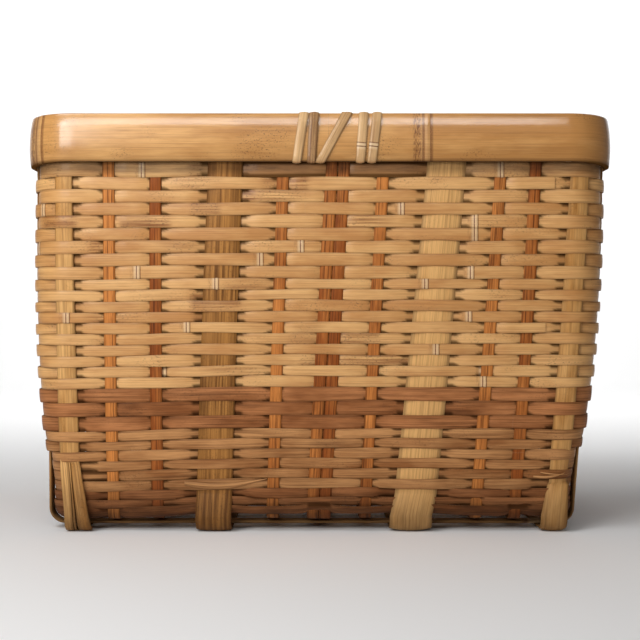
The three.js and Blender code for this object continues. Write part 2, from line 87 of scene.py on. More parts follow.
# Strips
WEAVER_THICKNESS = 1.3
WEAVER_STEP = 3.0
STAKE_THICKNESS = 1.8
STAKE_WIDTH = 12.0
BAND_THICKNESS = 4.0
LASHING_THICKNESS = 1.3
LASHING_WIDTH = 9.5
SLAT_WIDTH = 12.0
SLAT_END_MARGIN = 3.0
NODE_RIDGE = 0.4
FIRST_NODE = (40, 300)
NODE_SPACING = (240, 380)
SEAT_GAP = 0.3
ROW_GAP = 0.1
PAIR_GAP = 0.4
TOUCH = 0.05
STAKE_LIFT = 0.35
STAKE_STEP = 3.7
BAND_LIFT = 0.3
LEVEL_RUN = 20.0

# Courses of weavers from the rim down: rows, pitch, material slot
COURSES = [
    (9, 12.896, "weaver_pale"),
    (10, 11.1, "weaver_pale"),
    (3, 14.3, "weaver_dark"),
    (5, 10.4, "weaver_brown"),
    (1, 11.2, "weaver_brown"),
    (1, 9.5, "weaver_dark"),
    (1, 7.8, "weaver_dark"),
    (1, 12.0, "weaver_dark"),
]

# Bands beside the corners, from the wall's end to the middle of the band
LEFT_BAND_INSET = 31.7
LEFT_BAND_FOOT_INSET = 24.5
RIGHT_BAND_INSET = 29.5
RIGHT_BAND_FOOT_INSET = 18.3
SIDE_BAND_INSET = 42.5
SIDE_BAND_FOOT_INSET = 31.5

# Power bands turn under the base on a bend of their own
BAND_BEND_RADIUS = 15.0
CROSS_BAND_STANDOFF = 8.0
LONG_BAND_STANDOFF = 5.0

# How the rows of a real basket depart from level lines
EDGE_WANDER = 0.42
BOW = 5.0
BOW_POWER = 1.3
BOW_LEFT = -285.0
BOW_RIGHT = 60.0
BOW_REACH = 230.0
BOW_RIGHT_LOSS = 0.3
BOW_BACK = 60.0
BOW_DEPTH = 180.0
DIP_REACH = 25.0
TURN_REACH = 14.0
INSIDE_OVERLAP = 0.5
FIRST_ROW_RISE = 1.6
FIRST_ROW_EXTRA = (0.5, 1.6)
LAP = 34.0
FRONT_END = 290.0
LAST_ROW_OVERLAP = 2.0
LAST_ROW_HANG = 5.0
LAST_ROW_RISE = 2.0

# Rows with nodes on the front, and where: from the middle of the basket
FRONT_NODES = {
    1: (-178, 183), 4: (83,), 5: (157,), 6: (157,), 7: (-18,), 8: (-59,), 9: (-183, 153), 10: (-104, 107),
    13: (-254, 151), 14: (-133,), 16: (118,), 18: (-157, 165), 19: (166,),
}

# Rows whose two ends overlap on the front, and where the upper end is
FRONT_LAPS = {2: 236, 14: 227}

# Rows with dirty patches on the front, and where each patch starts and ends
FRONT_STAINS = {
    1: ((-132, -118),), 2: ((-58, -40), (-32, -12)), 3: ((-80, -66),), 4: ((-130, -100),),
    5: ((-280, -245), (-202, -150)), 7: ((-232, -220),), 11: ((-130, -78),), 12: ((-130, -80),),
    13: ((-128, -84),), 15: ((0, 60),), 17: ((-20, 90),),
}

# Strands split off a weaver: from, to, how far down the start, middle and end lie, and half the width
LOOSE_STRANDS = {
    27: [(217.0, 247.0, 2.5, 2.2, -1.5, 1.4), (224.0, 250.0, -2.0, -0.5, 0.5, 0.8)],
    28: [(-138.0, -54.0, -1.5, 1.6, -5.0, 2.9)],
}

# Where the rim's shadow falls on the first row, how dark, and how much it deepens the tone
RIM_SHADOW = (-105.0, 125.0)
RIM_SHADOW_DIP = 0.85
RIM_SHADOW_TONE = 3.5

# Darkening: the height up to which it reaches above the ground, as dirt and painted shade, and how far below
# the rim's foot the rim's painted shadow starts
GROUND_DARKENING_HEIGHT = 64
RIM_SHADE_DEPTH = 16

# Heights that follow
RIM_FOOT = RIM_TOP - RIM_HEIGHT
ROWS_TOP = RIM_FOOT - LASHING_THICKNESS - 3 * SEAT_GAP
EDGE_CENTRE_HEIGHT = BASE_HEIGHT + EDGE_RADIUS
WALL_RUN = ROWS_TOP - (EDGE_CENTRE_HEIGHT - EDGE_RADIUS * sin(EDGE_LEAN))
WALL_END = WALL_RUN + EDGE_RADIUS * (pi / 2 - EDGE_LEAN)
FILLER_FOOT = RIM_TOP - SEAT_GAP - FILLER_HEIGHT
STAKE_TOP = FILLER_FOOT - SEAT_GAP
RIM_BACK_OFFSET = BAND_THICKNESS / 2 + SEAT_GAP
RIM_FACE_OFFSET = RIM_BACK_OFFSET + RIM_THICKNESS
INNER_FACE_OFFSET = -RIM_BACK_OFFSET - INNER_RIM_THICKNESS
CROSS_BAND_HEIGHT = BAND_THICKNESS / 2
LONG_BAND_HEIGHT = BAND_THICKNESS + SEAT_GAP + BAND_THICKNESS / 2

# The four sides in the order in which a weaver meets them: the way out, and the way that the weaver goes
SIDES = {
    "front": (np.array([0.0, -1.0]), np.array([1.0, 0.0])),
    "right": (np.array([1.0, 0.0]), np.array([0.0, 1.0])),
    "back": (np.array([0.0, 1.0]), np.array([-1.0, 0.0])),
    "left": (np.array([-1.0, 0.0]), np.array([0.0, -1.0])),
}


def lerp(a, b, share):
    return a + (b - a) * share


def smooth(share):
    share = np.clip(share, 0.0, 1.0)
    return share * share * (3 - 2 * share)


def waves(seed, positions, amplitude, longest, shortest):
    """A smooth wander along a strip, the same on each run: a sum of four waves."""
    source = random.Random(seed)
    total = np.zeros(len(positions))
    for _ in range(4):
        period = source.uniform(shortest, longest)
        total += np.sin(2 * pi * (positions / period + source.random()))
    return amplitude * total / 2


# Wall


def section(run):
    """The wall's section at a run down it: height, share of the wall, narrowing, lean and tuck."""
    share = min(max(0.0, run), WALL_RUN) / NARROWING_RUN
    narrow = min(1.0, share**NARROWING_POWER)
    if run <= WALL_RUN:
        return ROWS_TOP - run, share, narrow, FOOT_LEAN * share**2, 0.0
    lean = min(pi / 2, EDGE_LEAN + (run - WALL_RUN) / EDGE_RADIUS)
    tuck = EDGE_RADIUS * (cos(EDGE_LEAN) - cos(lean))
    return EDGE_CENTRE_HEIGHT - EDGE_RADIUS * sin(lean), share, narrow, lean, tuck


class Ring:
    """The wall's rounded rectangle at a run, measured by the distance round it from the front's left end."""

    def __init__(self, run):
        self.height, share, narrow, self.lean, tuck = section(run)
        drawn_in = min(1.0, narrow + FOOT_STEP * smooth((share - FOOT_STEP_SHARE) / FOOT_STEP_REACH))
        half_length = WALL_LENGTH / 2 - FOOT_INSET_LENGTH * drawn_in - tuck
        half_depth = WALL_DEPTH / 2 - FOOT_INSET_DEPTH * narrow - tuck
        radius = lerp(WALL_CORNER_RADIUS, FOOT_CORNER_RADIUS, share) - tuck
        self.radius = max(SMALLEST_CORNER_RADIUS, radius)
        self.centre = np.array([FOOT_SHIFT * share**FOOT_SHIFT_POWER, 0.0])
        self.spans = {}
        start = 0.0
        for side in SIDES:
            along, across = half_length, half_depth
            if side in ("right", "left"):
                along, across = across, along
            straight = along - self.radius
            self.spans[side] = (start, straight, across)
            start += 2 * straight + self.radius * pi / 2
        self.length = start

    def distance(self, side, at):
        """The distance round the wall of a place along a side."""
        start, straight, _ = self.spans[side]
        way = float(SIDES[side][1] @ (at - self.centre))
        past = abs(way) - straight
        if past <= 0:
            return start + straight + way
        turned = self.radius * asin(min(1.0, past / self.radius))
        return start - turned if way < 0 else start + 2 * straight + turned

    def places(self, distances):
        """Points of the middle surface in plan, and the level ways out there."""
        distances = np.mod(distances, self.length)
        points = np.zeros((len(distances), 2))
        outs = np.zeros((len(distances), 2))
        for side, (start, straight, across) in self.spans.items():
            outward, forward = SIDES[side]
            way = distances - start
            on_side = (way >= 0) & (way <= 2 * straight)
            points[on_side] = self.centre + outward * across + np.outer(way[on_side] - straight, forward)
            outs[on_side] = outward
            turned = (way - 2 * straight) / self.radius
            in_corner = (turned > 0) & (turned < pi / 2)
            out = np.outer(np.cos(turned[in_corner]), outward) + np.outer(np.sin(turned[in_corner]), forward)
            middle = self.centre + outward * (across - self.radius) + forward * straight
            points[in_corner] = middle + self.radius * out
            outs[in_corner] = out
        return points, outs


def wall_places(ring, distances, offset):
    """Points, outward normals and downward tangents at distances round a ring, moved out by offset."""
    points, outs = ring.places(distances)
    level, steep = cos(ring.lean), sin(ring.lean)
    normals = np.column_stack([outs * level, np.full(len(outs), -steep)])
    downs = np.column_stack([-outs * steep, np.full(len(outs), -level)])
    centres = np.column_stack([points, np.full(len(points), ring.height)])
    return centres + normals * np.asarray(offset)[..., None], normals, downs


def bow(run, x, y):
    """How far the rows rise towards the middle of the front: more, the lower the row."""
    share = min(1.0, run / NARROWING_RUN)
    rise = smooth((x - BOW_LEFT) / BOW_REACH) * (1 - BOW_RIGHT_LOSS * smooth((x - BOW_RIGHT) / BOW_REACH))
    return BOW * share**BOW_POWER * rise * smooth((BOW_BACK - y) / BOW_DEPTH)


# Rows, stakes and their crossings


def make_rows():
    made = []
    run = 0.0
    for count, pitch, slot in COURSES:
        for _ in range(count):
            top, run = run, run + pitch
            middle = (top + run) / 2
            made.append(SimpleNamespace(number=len(made) + 1, top=top, middle=middle, foot=run, slot=slot))
    return made


rows = make_rows()

CROSS_SPAN = {
    "rim": (LEFT_BAND_INSET - WALL_LENGTH / 2, WALL_LENGTH / 2 - RIGHT_BAND_INSET),
    "foot": (
        FOOT_SHIFT + LEFT_BAND_FOOT_INSET + FOOT_INSET_LENGTH - WALL_LENGTH / 2,
        FOOT_SHIFT - RIGHT_BAND_FOOT_INSET - FOOT_INSET_LENGTH + WALL_LENGTH / 2,
    ),
}
LONG_SPAN = {
    "rim": (SIDE_BAND_INSET - WALL_DEPTH / 2, WALL_DEPTH / 2 - SIDE_BAND_INSET),
    "foot": (
        SIDE_BAND_FOOT_INSET + FOOT_INSET_DEPTH - WALL_DEPTH / 2,
        WALL_DEPTH / 2 - FOOT_INSET_DEPTH - SIDE_BAND_FOOT_INSET,
    ),
}


def stake(name, span, rim, foot, tone=0.0, pair=False):
    """A thin stake, as shares of the way between the outer bands."""
    return SimpleNamespace(
        name=name,
        rim=lerp(*span["rim"], rim),
        foot=lerp(*span["foot"], foot),
        width=STAKE_WIDTH,
        foot_width=STAKE_WIDTH,
        tone=tone,
        pair=pair,
        band=False,
    )


def power_band(
    name, span, rim, foot, width, foot_width, free_rows, tone, crown, wear, splits=(), swing=0.0, flare=0.0
):
    """A wide band. Splits are the shares of its width at which its free part on the front is split.

    Its foot swings to one side and flares on both.
    """
    made = stake(name, span, rim, foot, tone)
    vars(made).update(band=True, width=width, foot_width=foot_width, free_rows=free_rows)
    vars(made).update(crown=crown, wear=wear, splits=splits, swing=swing, flare=flare)
    return made


cross_stakes = [
    power_band("power_band_left", CROSS_SPAN, 0, -0.008, 18, 20.5, 6, -0.4, 1.6, 0.35, (0.43, 0.53), 4.5),
    stake("stake_cross_1", CROSS_SPAN, 0.088, 0.08, -1.8),
    stake("stake_cross_2", CROSS_SPAN, 0.179, 0.172, 1.0),
    power_band("power_band_mid_left", CROSS_SPAN, 0.3145, 0.29, 35, 36, 3, 2.6, 1.4, 1.1),
    stake("stake_cross_3", CROSS_SPAN, 0.427, 0.412, -0.4),
    stake("stake_cross_4", CROSS_SPAN, 0.533, 0.509, 0.7, pair=True),
    stake("stake_cross_5", CROSS_SPAN, 0.621, 0.605, -0.2),
    power_band("power_band_mid_right", CROSS_SPAN, 0.7435, 0.709, 39.5, 43, 3, -1.8, 2.8, 0.1, (), -4),
    stake("stake_cross_6", CROSS_SPAN, 0.849, 0.8365, -0.8),
    stake("stake_cross_7", CROSS_SPAN, 0.916, 0.917, 0.4),
    power_band("power_band_right", CROSS_SPAN, 1.0045, 1.0045, 21, 21.5, 4, 0.0, 2.4, 0.1, (), -3.5, 3),
]
long_stakes = [
    power_band("power_band_front", LONG_SPAN, 0, 0, 20, 20, 7, 0.2, 2.4, 0.3),
    stake("stake_long_1", LONG_SPAN, 0.189, 0.198, 0.3),
    stake("stake_long_2", LONG_SPAN, 0.392, 0.396, -0.5),
    stake("stake_long_3", LONG_SPAN, 0.608, 0.604, 0.6),
    stake("stake_long_4", LONG_SPAN, 0.811, 0.802, -0.1),
    power_band("power_band_back", LONG_SPAN, 1, 1, 20, 20, 7, -0.2, 2.4, 0.3),
]
OUTER_BANDS = [item.name for item in (cross_stakes[0], cross_stakes[-1], long_stakes[0], long_stakes[-1])]


def stake_place(item, run):
    """The place of a stake along its side at a run, and half its width."""
    share = section(run)[1]
    width = lerp(item.width, item.foot_width, share)
    half = width + PAIR_GAP / 2 if item.pair else width / 2
    return lerp(item.rim, item.foot, share), half


crossings = []
for side, stakes in zip(SIDES, (cross_stakes, long_stakes, cross_stakes[::-1], long_stakes[::-1])):
    for item in stakes:
        crossings.append(SimpleNamespace(side=side, stake=item, index=len(crossings)))


def crossing_of(side, item):
    return next(one for one in crossings if one.side == side and one.stake is item)


def passes_outside(crossing, row):
    return (crossing.index + row.number) % 2 == 1


def holding_row(crossing):
    """The last row that holds a power band: the lowest one above its free rows that passes outside it."""
    last = len(rows) - crossing.stake.free_rows
    return [row for row in rows if row.number <= last and passes_outside(crossing, row)][-1]


def across_at(side, run):
    return Ring(run).spans[side][2]


def band_ends(crossing):
    """Where a power band leaves the weave, and where it starts its bend under the base."""
    side = crossing.side
    cross = side in ("front", "back")
    leaves = holding_row(crossing).foot
    return SimpleNamespace(
        leaves=leaves,
        leave_height=section(leaves)[0],
        leave_across=across_at(side, leaves),
        bend_height=(CROSS_BAND_HEIGHT if cross else LONG_BAND_HEIGHT) + BAND_BEND_RADIUS,
        bend_across=across_at(side, WALL_RUN) + (CROSS_BAND_STANDOFF if cross else LONG_BAND_STANDOFF),
    )


def band_standoff(crossing, run):
    """How far out a freed power band stands from the wall's middle surface at a run."""
    ends = band_ends(crossing)
    height, _, _, lean, _ = section(run)
    fall = (ends.leave_height - height) / (ends.leave_height - ends.bend_height)
    across = lerp(ends.leave_across, ends.bend_across, min(1.0, fall))
    return (across - across_at(crossing.side, run)) * cos(lean)


# A stake or band in a row's way: where, half its width, the row's offset there, whether outside, whether wide
Support = namedtuple("Support", "at half level out wide")


def row_supports(row, ring):
    """What a row passes on its way round, in order."""
    supports = []
    for crossing in crossings:
        item = crossing.stake
        at, half = stake_place(item, row.middle)
        distance = ring.distance(crossing.side, at)
        outside = passes_outside(crossing, row)
        outward = 1 if outside else -1
        if not item.band:
            level = (STAKE_THICKNESS + WEAVER_THICKNESS) / 2 + TOUCH - STAKE_LIFT
            supports.append(Support(distance, half * 0.8, level * outward, outside, False))
            continue
        clear = (BAND_THICKNESS + WEAVER_THICKNESS) / 2 + TOUCH
        if row.number <= holding_row(crossing).number:
            supports.append(Support(distance, half, (clear - BAND_LIFT) * outward, outside, True))
            continue
        limit = min(band_standoff(crossing, row.top), band_standoff(crossing, row.foot)) - clear
        if item.name in OUTER_BANDS or limit < clear + 1:
            distance = ring.distance(crossing.side, at + 0.6 * item.swing)
            half += abs(item.swing) / 2 + item.flare + 4
            supports.append(Support(distance, half, -max(0.0, 0.4 - limit), False, True))
    return sorted(supports)


def row_offsets(supports, length, distances):
    """A weaver's offset from the wall's middle surface at distances round the ring."""
    distances = np.mod(distances, length)
    offsets = np.zeros(len(distances))
    for i, here in enumerate(supports):
        after = supports[(i + 1) % len(supports)]
        gap = (after.at - here.at) % length
        way = np.mod(distances - here.at, length)
        near = way <= gap
        way = way[near]
        from_here = np.clip(way - here.half, 0, None)
        from_after = np.clip(gap - way - after.half, 0, None)
        if here.out == after.out:
            offsets[near] = lerp(here.level, after.level, smooth(from_here / (from_here + from_after + 1e-6)))
            continue
        inner, outer = (after, here) if here.out else (here, after)
        from_inner = from_after if here.out else from_here
        to_outer = way if here.out else gap - way
        if outer.wide:
            ease = np.clip(to_outer / (gap - inner.half), 0, 1) ** 1.8
        else:
            reach = min(gap - inner.half, DIP_REACH if inner.wide else TURN_REACH)
            ease = np.clip(1 - from_inner / reach, 0, 1) ** 2
        offsets[near] = lerp(outer.level, inner.level, ease)
    return offsets


# Meshes


def placed(name, data):
    """An object made of data, in the scene."""
    made = bpy.data.objects.new(name, data)
    bpy.context.scene.collection.objects.link(made)
    return made


def build_mesh(name, points, faces, values):
    """A mesh object from points in millimetres, faces and named values at the points."""
    mesh = bpy.data.meshes.new(name)
    mesh.from_pydata((points * MM).tolist(), [], faces)
    for key, data in values.items():
        kind, field = ("FLOAT_VECTOR", "vector") if data.ndim == 2 else ("FLOAT", "value")
        attribute = mesh.attributes.new(key, kind, "POINT")
        attribute.data.foreach_set(field, data.astype(np.float32).ravel())
    mesh.polygons.foreach_set("use_smooth", np.ones(len(mesh.polygons), dtype=bool))
    mesh.set_sharp_from_angle(angle=radians(50))
    return placed(name, mesh)


def to_knot(along, knots, length=None):
    """The signed way from the nearest node, at places along a strip."""
    distance = np.full(len(along), 99.0)
    for knot in knots:
        away = along - knot
        if length:
            away = (away + length / 2) % length - length / 2
        distance = np.where(np.abs(away) < np.abs(distance), away, distance)
    return distance


NODE_STATIONS = (-3.5, -2, -1.2, -0.5, 0.3, 1, 1.8, 3, 4.5)


def stations(start, end, step, knots):
    """Places along a strip, closer together at its nodes."""
    places = list(np.linspace(start, end, max(2, int((end - start) / step) + 1)))
    for knot in knots:
        near = [knot + away for away in NODE_STATIONS]
        places += [place for place in near if start < place < end]
    return np.array(sorted(places))


def grime(heights):
    """Darker near the ground, partly dirt and partly painted shade, and a painted shadow just under the rim.
    """
    ground = np.clip((GROUND_DARKENING_HEIGHT - heights) / 46, 0, 1) ** 1.3
    return ground + 0.95 * smooth((heights - RIM_FOOT + RIM_SHADE_DEPTH) / 9)


def tube_faces(count, corners, closed=False):
    """The faces round a row of sections, which is closed into a ring or has a face at each end."""
    faces = []
    for i in range(count if closed else count - 1):
        here, there = i * corners, (i + 1) % count * corners
        for j in range(corners):
            k = (j + 1) % corners
            faces.append((here + j, here + k, there + k, there + j))
    if not closed:
        faces += [tuple(reversed(range(corners))), tuple(range((count - 1) * corners, count * corners))]
    return faces


def point_values(along, across, seed, **others):
    """The named values at a strip's points. Each is given once, for each section or for each point."""

    def spread(value):
        value = np.asarray(value, dtype=float)
        return np.broadcast_to(value[:, None] if value.ndim == 1 else value, across.shape)

    place = np.stack([spread(along) * MM, across * MM, spread(seed)], axis=-1)
    return {"strip": place.reshape(-1, 3), **{key: spread(value).ravel() for key, value in others.items()}}


def sweep(
    centres, normals, acrosses, along, profile, seed, half, tone=0.0, dip=0.0, wear=0.0, knots=(), cup=0.0,
    ridge=NODE_RIDGE
):
    """The points, faces and values of a solid strip.

    The profile's points are a share of the width and a height. A cup bends the strip's two edges back, and a
    ridge is how far its nodes stand out.
    """
    count, ring = len(centres), len(profile)
    knot = to_knot(along, knots)
    swell = np.exp(-((knot / 1.5) ** 2))[:, None]
    widths = np.broadcast_to(half, count)[:, None] * profile[None, :, 0] * (1 + 0.04 * swell)
    heights = profile[None, :, 1] + np.where(profile[None, :, 1] > 0, ridge, 0.0) * swell - cup * widths**2
    points = centres[:, None] + acrosses[:, None] * widths[..., None] + normals[:, None] * heights[..., None]
    shares = np.abs(profile[None, :, 0])
    # Painted shade: the edges darken where the strip tucks in behind a stake, and a little along both edges
    # where strips meet
    tuck_shade = smooth((shares - 1.15 + 0.9 * np.broadcast_to(dip, count)[:, None]) / 0.35)
    values = point_values(
        along,
        widths,
        seed,
        knot=knot,
        tone=tone,
        dip=np.maximum(tuck_shade, 0.4 * smooth((shares - 0.78) / 0.2)),
        wear=wear,
        inner=np.tile(profile[:, 1] < -0.2, (count, 1)),
        grime=grime(points[..., 2]),
    )
    return points.reshape(-1, 3), tube_faces(count, ring), values


def joined(parts):
    """Several solids as the points, faces and values of one mesh."""
    points, faces, values = [], [], {}
    start = 0
    for part_points, part_faces, part_values in parts:
        points.append(part_points)
        faces += [tuple(index + start for index in face) for face in part_faces]
        start += len(part_points)
        for key, data in part_values.items():
            values.setdefault(key, []).append(data)
    return np.concatenate(points), faces, {key: np.concatenate(data) for key, data in values.items()}


def flat_profile(thickness, crown, edge, count=7):
    """A strip's section: a crowned outer face, rounded edges and a flat inner face."""
    half = thickness / 2
    side = max(half - crown - edge, 0.1 - half + edge)
    outer = [(share, half - crown * share**2) for share in np.linspace(-0.93, 0.93, count)]
    inner = [(1.0, -half + edge), (0.93, -half), (0.0, -half), (-0.93, -half), (-1.0, -half + edge)]
    return np.array([(-1.0, side), *outer, (1.0, side), *inner])


WEAVER_PROFILE = flat_profile(WEAVER_THICKNESS, 0.4, 0.2, 9)
STAKE_PROFILE = flat_profile(STAKE_THICKNESS, 0.3, 0.35)
LASHING_PROFILE = flat_profile(LASHING_THICKNESS, 0.9, 0.2, 9)


def lengths_along(centres):
    return np.concatenate([[0.0], np.cumsum(np.linalg.norm(np.diff(centres, axis=0), axis=1))])


def random_knots(seed, length):
    """Places of a strip's nodes along it."""
    source = random.Random(seed)
    knots = []
    at = source.uniform(*FIRST_NODE)
    while at < length:
        knots.append(at)
        at += source.uniform(*NODE_SPACING)
    return knots


# Weavers


def edge_wander(number, shares):
    """How far the line between two rows wanders, at shares of the way round, so that it meets itself."""
    source = random.Random(4000 + number)
    total = np.zeros(len(shares))
    for _ in range(5):
        total += np.sin(2 * pi * (source.randint(2, 15) * shares + source.random()))
    return EDGE_WANDER * total / sqrt(5) * 1.4


def weaver_knots(row, ring, start):
    """Nodes as distances round the ring from the start: those of the front are given, the others are not."""
    knots = [ring.distance("front", at) for at in FRONT_NODES.get(row.number, ())]
    front_end = ring.distance("front", FRONT_END)
    knots += [knot for knot in random_knots(row.number, ring.length) if front_end < knot < ring.length - 20]
    return [start + (knot - start) % ring.length for knot in knots]


def loose_strand(row, ring, start, end, drop_start, drop_middle, drop_end, half):
    """A thin strand that lies outside its weaver, thin at both ends."""
    share = np.linspace(0, 1, 26)
    distances = lerp(ring.distance("front", start), ring.distance("front", end), share)
    offsets = row_offsets(row_supports(row, ring), ring.length, distances)
    bulge = np.sin(pi * share)
    lift = 1.3 + 0.8 * bulge
    centres, normals, downs = wall_places(ring, distances, np.maximum(offsets, 0.4) + lift)
    drop = lerp(drop_start, drop_end, share) + (drop_middle - (drop_start + drop_end) / 2) * bulge
    centres += downs * (drop - bow(row.top, centres[:, 0], centres[:, 1]))[:, None]
    taper = half * np.minimum(1, 0.75 + 2 * share) * np.minimum(1, 0.1 + 2 * (1 - share))
    along = lengths_along(centres)
    return sweep(centres, normals, downs, along, LASHING_PROFILE, 60 + row.number, taper, -2.5)


def weaver(row):
    """A weaver and the strands that have split off it."""
    number = row.number
    source = random.Random(100 + number)
    ring = Ring(row.middle)
    if number in FRONT_LAPS:
        start = ring.distance("front", FRONT_LAPS[number]) - LAP
    else:
        start = ring.distance("back", source.uniform(-140, 140))
    knots = weaver_knots(row, ring, start)
    distances = stations(start, start + ring.length + LAP, WEAVER_STEP, knots)
    along = distances - start
    offsets = row_offsets(row_supports(row, ring), ring.length, distances)
    on_top = smooth((along - (ring.length - LAP * 0.5)) / (LAP * 0.5))
    centres, normals, downs = wall_places(ring, distances, offsets + on_top * (WEAVER_THICKNESS + TOUCH))
    shares = np.mod(distances, ring.length) / ring.length
    inside = INSIDE_OVERLAP * smooth((-0.3 - offsets) / 0.9)
    if number == 1:
        above = -FIRST_ROW_RISE - lerp(*FIRST_ROW_EXTRA, smooth((1.8 - offsets) / 0.5))
    else:
        above = edge_wander(number - 1, shares)
    top = row.top + ROW_GAP / 2 + above - row.middle - inside
    bottom = row.foot - ROW_GAP / 2 + edge_wander(number, shares) - row.middle + inside
    rise = bow(row.top, centres[:, 0], centres[:, 1])
    if number >= len(rows) - 2:
        top -= LAST_ROW_OVERLAP if number == len(rows) else LAST_ROW_OVERLAP / 2
    if number == len(rows):
        to_side = smooth((np.abs(centres[:, 0] - 5) - 70) / 190)
        bottom += lerp(-LAST_ROW_RISE, LAST_ROW_HANG, to_side)
    centres += downs * ((top + bottom) / 2 - rise)[:, None]
    tone = source.uniform(-0.8, 0.8) + waves(number + 90, along, 0.35, 900, 150)
    # Painted shade where the weaver passes inside a stake or band, less near the corners
    in_corner = smooth((np.minimum(np.abs(normals[:, 0]), np.abs(normals[:, 1])) - 0.1) / 0.3)
    dip = smooth((0.4 - offsets) / 1.4) * (1 - 0.8 * in_corner)
    wear = np.clip(waves(number + 70, along, 0.9, 400, 90) - 0.75, 0, 1)
    on_front = centres[:, 1] < 0
    for left, right in FRONT_STAINS.get(number, ()):
        stained = smooth((centres[:, 0] - left) / 8 + 0.5) * smooth((right - centres[:, 0]) / 8 + 0.5)
        wear += on_front * stained
    # The rim's shadow on the first row, painted as shade and a deeper tone
    if number == 1:
        left, right = RIM_SHADOW
        shaded = on_front * smooth((centres[:, 0] - left) / 30) * smooth((right - centres[:, 0]) / 20)
        dip = np.maximum(dip, RIM_SHADOW_DIP * shaded)
        tone += RIM_SHADOW_TONE * shaded
    knots = [knot - start for knot in knots]
    half = (bottom - top) / 2
    cup = 0.5 / EDGE_RADIUS if number == len(rows) else 0.0
    path = (centres, normals, downs, along)
    body = sweep(*path, WEAVER_PROFILE, 100 + number, half, tone, dip, wear, knots, cup)
    return [body, *[loose_strand(row, ring, *strand) for strand in LOOSE_STRANDS.get(number, [])]]


# Materials


def node(tree, kind, inputs=(), **settings):
    made = tree.nodes.new(kind)
    for key, value in settings.items():
        setattr(made, key, value)
    for key, value in dict(inputs).items():
        if hasattr(value, "is_output"):
            tree.links.new(value, made.inputs[key])
        else:
            made.inputs[key].default_value = value
    return made


def linear(red, green, blue):
    """An opaque colour given as 0 to 255 in sRGB, in linear light."""
    parts = red / 255, green / 255, blue / 255
    return *[part / 12.92 if part <= 0.04045 else ((part + 0.055) / 1.055) ** 2.4 for part in parts], 1.0


def ramp(tree, factor, *stops):
    """A grey ramp. Stops are positions and levels."""
    made = node(tree, "ShaderNodeValToRGB", {"Fac": factor})
    elements = made.color_ramp.elements
    elements[0].position = stops[0][0]
    elements[1].position = stops[-1][0]
    for position, _ in stops[1:-1]:
        elements.new(position)
    for element, (_, level) in zip(elements, stops):
        element.color = (level, level, level, 1.0)
    return made.outputs["Color"]


def maths(tree, operation, *values):
    return node(tree, "ShaderNodeMath", dict(enumerate(values)), operation=operation).outputs[0]


def mix(tree, factor, first, second):
    """A colour between two, where each may be a socket or a colour."""
    return node(tree, "ShaderNodeMix", {0: factor, 6: first, 7: second}, data_type="RGBA").outputs[2]


def attribute(tree, name, output="Fac"):
    return node(tree, "ShaderNodeAttribute", attribute_name=name).outputs[output]


def noise(tree, place, along, across, detail=3.0, roughness=0.6):
    """Noise drawn out along the strip: along and across are marks for each metre."""
    scaled = node(tree, "ShaderNodeVectorMath", {0: place, 1: (along, across, 7.31)}, operation="MULTIPLY")
    inputs = {"Vector": scaled.outputs[0], "Scale": 1.0, "Detail": detail, "Roughness": roughness}
    return node(tree, "ShaderNodeTexNoise", inputs).outputs["Fac"]


NODE_BROWN = linear(104, 56, 28)
NODE_PALE_AND_SHEEN = linear(240, 212, 170)
# Dark brown for dirt and for painted shade
DIRT_AND_SHADE = linear(46, 26, 13)
MOULD = linear(70, 50, 32)
INNER_FACE = linear(188, 148, 100)

# Lines at a node: places across it, where 0.5 is its middle, and strengths. The rim's are wide.
THIN_RINGS = (
    (0.375, 0), (0.4, 0.95), (0.43, 0.95), (0.455, 0), (0.56, 0), (0.585, 0.8), (0.615, 0.8), (0.64, 0)
)
WIDE_RINGS = (0.33, 0), (0.36, 0.75), (0.41, 0.5), (0.44, 0), (0.56, 0), (0.59, 0.75), (0.65, 0.55), (0.69, 0)
# The pale ridge, with a painted highlight before it: places across the node and strengths
RIDGE_AND_SHEEN_RINGS = (0.22, 0), (0.37, 0.55), (0.4, 0.1), (0.45, 0.5), (0.56, 0.5), (0.6, 0)

# Three colours, then fibres, grain, gloss, mould, coat, the strength of the darkening near the ground and
# under the rim (dirt and painted shade), patches beside nodes and the strength of the nodes' pale ridge with
# its painted highlight
LOOKS = {
    "weaver_pale": ((230, 178, 114), (198, 140, 80), (142, 88, 42), 0.4, 900, 0.42, 0.5, 0.1, 0.8, 0.3, 1),
    "weaver_brown": ((204, 148, 94), (152, 98, 54), (84, 46, 20), 0.6, 700, 0.5, 0.4, 0, 0.85, 0.3, 1),
    "weaver_dark": ((196, 130, 80), (140, 84, 44), (72, 38, 16), 0.6, 700, 0.5, 0.4, 0, 0.9, 0.3, 1),
    "stake": ((212, 134, 66), (152, 80, 30), (88, 42, 12), 0.9, 560, 0.5, 0.15, 0, 0.85, 0, 1),
    "power_band": ((230, 178, 112), (182, 126, 64), (96, 56, 20), 0.35, 520, 0.45, 0.3, 0, 0.62, 0, 1),
    "rim": ((228, 172, 104), (196, 138, 74), (134, 84, 40), 0.3, 460, 0.34, 0.7, 1, 0, 0.85, 0.2),
    "lashing": ((228, 186, 132), (192, 148, 98), (120, 80, 46), 0.5, 700, 0.4, 0.4, 0.3, 0, 0, 1),
    # The base slats are darker than the stakes: partly dirt, partly painted shade under the basket
    "base_slat": ((180, 130, 80), (140, 92, 52), (88, 52, 26), 0.5, 700, 0.5, 0.4, 0, 1, 0, 1),
}


